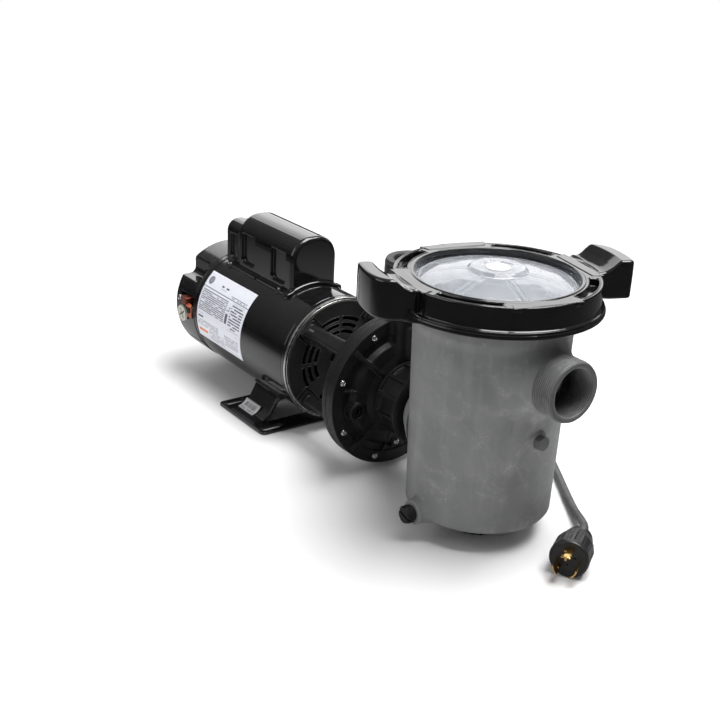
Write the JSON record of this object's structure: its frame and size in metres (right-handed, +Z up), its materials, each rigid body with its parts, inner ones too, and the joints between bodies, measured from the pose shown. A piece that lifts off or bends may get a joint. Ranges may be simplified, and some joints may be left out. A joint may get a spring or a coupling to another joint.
{
  "type": "pool pump",
  "caption": "Pool pump: electric motor on a slotted foot drives a flanged centrifugal end, with a clear-lidded strainer pot, lock ring with handles, threaded ports and a corded locking plug.",
  "frame": {"origin": "centre of the four bolt slots of the motor foot, on the floor plane", "axes": "+X along the shaft towards the suction inlet, +Z up, +Y to the left seen from behind the motor"},
  "size_m": [0.6613, 0.3246, 0.2775],
  "materials": {
    "motor_enamel": "gloss",
    "bracket_cast": "machined rim",
    "motor_plastic": "satin",
    "black_plastic": "moulded",
    "ring_plastic": "gloss",
    "grey_plastic": "moulded, scuffed",
    "clear_lid": "clear polycarbonate",
    "white_label": "printed",
    "basket_plastic": "moulded",
    "rubber": "moulded",
    "steel": "machined",
    "stainless": "bright",
    "foot_enamel": "gloss",
    "copper": "oxidised copper",
    "brass": "bright",
    "dial_plastic": "moulded",
    "cord_jacket": "extruded",
    "plug_shell": "moulded",
    "ceramic": "ground",
    "carbon": "lapped",
    "can_metal": "drawn"
  },
  "bodies": {
    "root": {"bonding_lug": "copper", "bonding_screw": "stainless", "capacitor": "can_metal", "capacitor_cover": "motor_plastic", "capacitor_cover_screws": "stainless", "cord_grip": "black_plastic", "foot_cushions": "rubber", "front_bearing": "steel", "front_grille": "black_plastic", "motor_foot": "foot_enamel", "motor_front_bracket": "bracket_cast", "motor_rear_bracket": "bracket_cast", "motor_shell": "motor_enamel", "nameplate": "white_label", "plug_blades": "brass", "plug_body": "plug_shell", "plug_cap": "plug_shell", "power_cord": "cord_jacket", "rear_bearing": "steel", "rear_cover": "motor_plastic", "seal_plate": "black_plastic", "seal_seat": "ceramic", "stator_core": "steel", "stator_windings": "copper", "terminal_board": "black_plastic", "thermal_protector": "carbon", "through_bolts": "steel", "trap_body": "grey_plastic", "trap_foot": "black_plastic", "union_seal": "rubber", "volute": "black_plastic", "volute_gasket": "rubber", "volute_screws": "stainless"},
    "rotor": {"motor_shaft": "steel", "rotor_core": "steel", "cooling_fan": "plug_shell", "centrifugal_switch": "plug_shell", "impeller": "black_plastic", "seal_rotary": "carbon", "seal_spring": "steel", "slinger": "rubber"},
    "lid": {"trap_lid": "clear_lid", "lid_badge": "white_label", "lid_seal": "rubber"},
    "lock_ring": {"lock_ring": "ring_plastic"},
    "basket": {"strainer_basket": "basket_plastic"},
    "basket_handle": {"basket_handle": "steel"},
    "union_nut": {"suction_union_nut": "black_plastic"},
    "trap_drain": {"trap_drain_plug": "black_plastic", "trap_drain_seal": "rubber"},
    "volute_drain": {"volute_drain_plug": "black_plastic"},
    "gauge_plug": {"gauge_plug": "grey_plastic"},
    "selector_dial": {"selector_dial": "dial_plastic"}
  },
  "joints": [
    {"name": "rotor_spin", "type": "hinge", "parent": "root", "child": "rotor", "pos_m": [0, 0, 0.0889], "axis": [1, 0, 0], "continuous": true},
    {"name": "lid_lift", "type": "slide", "parent": "root", "child": "lid", "axis": [0, 0, 1], "range_m": [0, 0.25]},
    {"name": "ring_turn", "type": "hinge", "parent": "lid", "child": "lock_ring", "pos_m": [0.3273, 0, 0.25], "axis": [0, 0, 1], "range_deg": [0, 50]},
    {"name": "basket_lift", "type": "slide", "parent": "root", "child": "basket", "axis": [0, 0, 1], "range_m": [0, 0.18]},
    {"name": "basket_handle_raise", "type": "hinge", "parent": "basket", "child": "basket_handle", "pos_m": [0.3273, 0, 0.238], "axis": [0, 1, 0], "range_deg": [0, 90]},
    {"name": "union_nut_turn", "type": "hinge", "parent": "root", "child": "union_nut", "pos_m": [0.215, 0, 0.0889], "axis": [1, 0, 0], "continuous": true},
    {"name": "trap_drain_out", "type": "slide", "parent": "root", "child": "trap_drain", "axis": [0, -1, 0], "range_m": [0, 0.025]},
    {"name": "volute_drain_out", "type": "slide", "parent": "root", "child": "volute_drain", "axis": [1, 0, 0], "range_m": [0, 0.015]},
    {"name": "gauge_plug_out", "type": "slide", "parent": "root", "child": "gauge_plug", "axis": [1, 0, 0], "range_m": [0, 0.015]},
    {"name": "selector_dial_turn", "type": "hinge", "parent": "root", "child": "selector_dial", "pos_m": [-0.1622, -0.073, 0.0817], "axis": [0, -1, 0], "range_deg": [0, 90]}
  ],
  "couplings": [
    {"joint": "basket_lift", "follows": "lid_lift", "ratio": 0.7},
    {"joint": "basket_handle_raise", "follows": "lid_lift", "rad_per_m": 6}
  ]
}
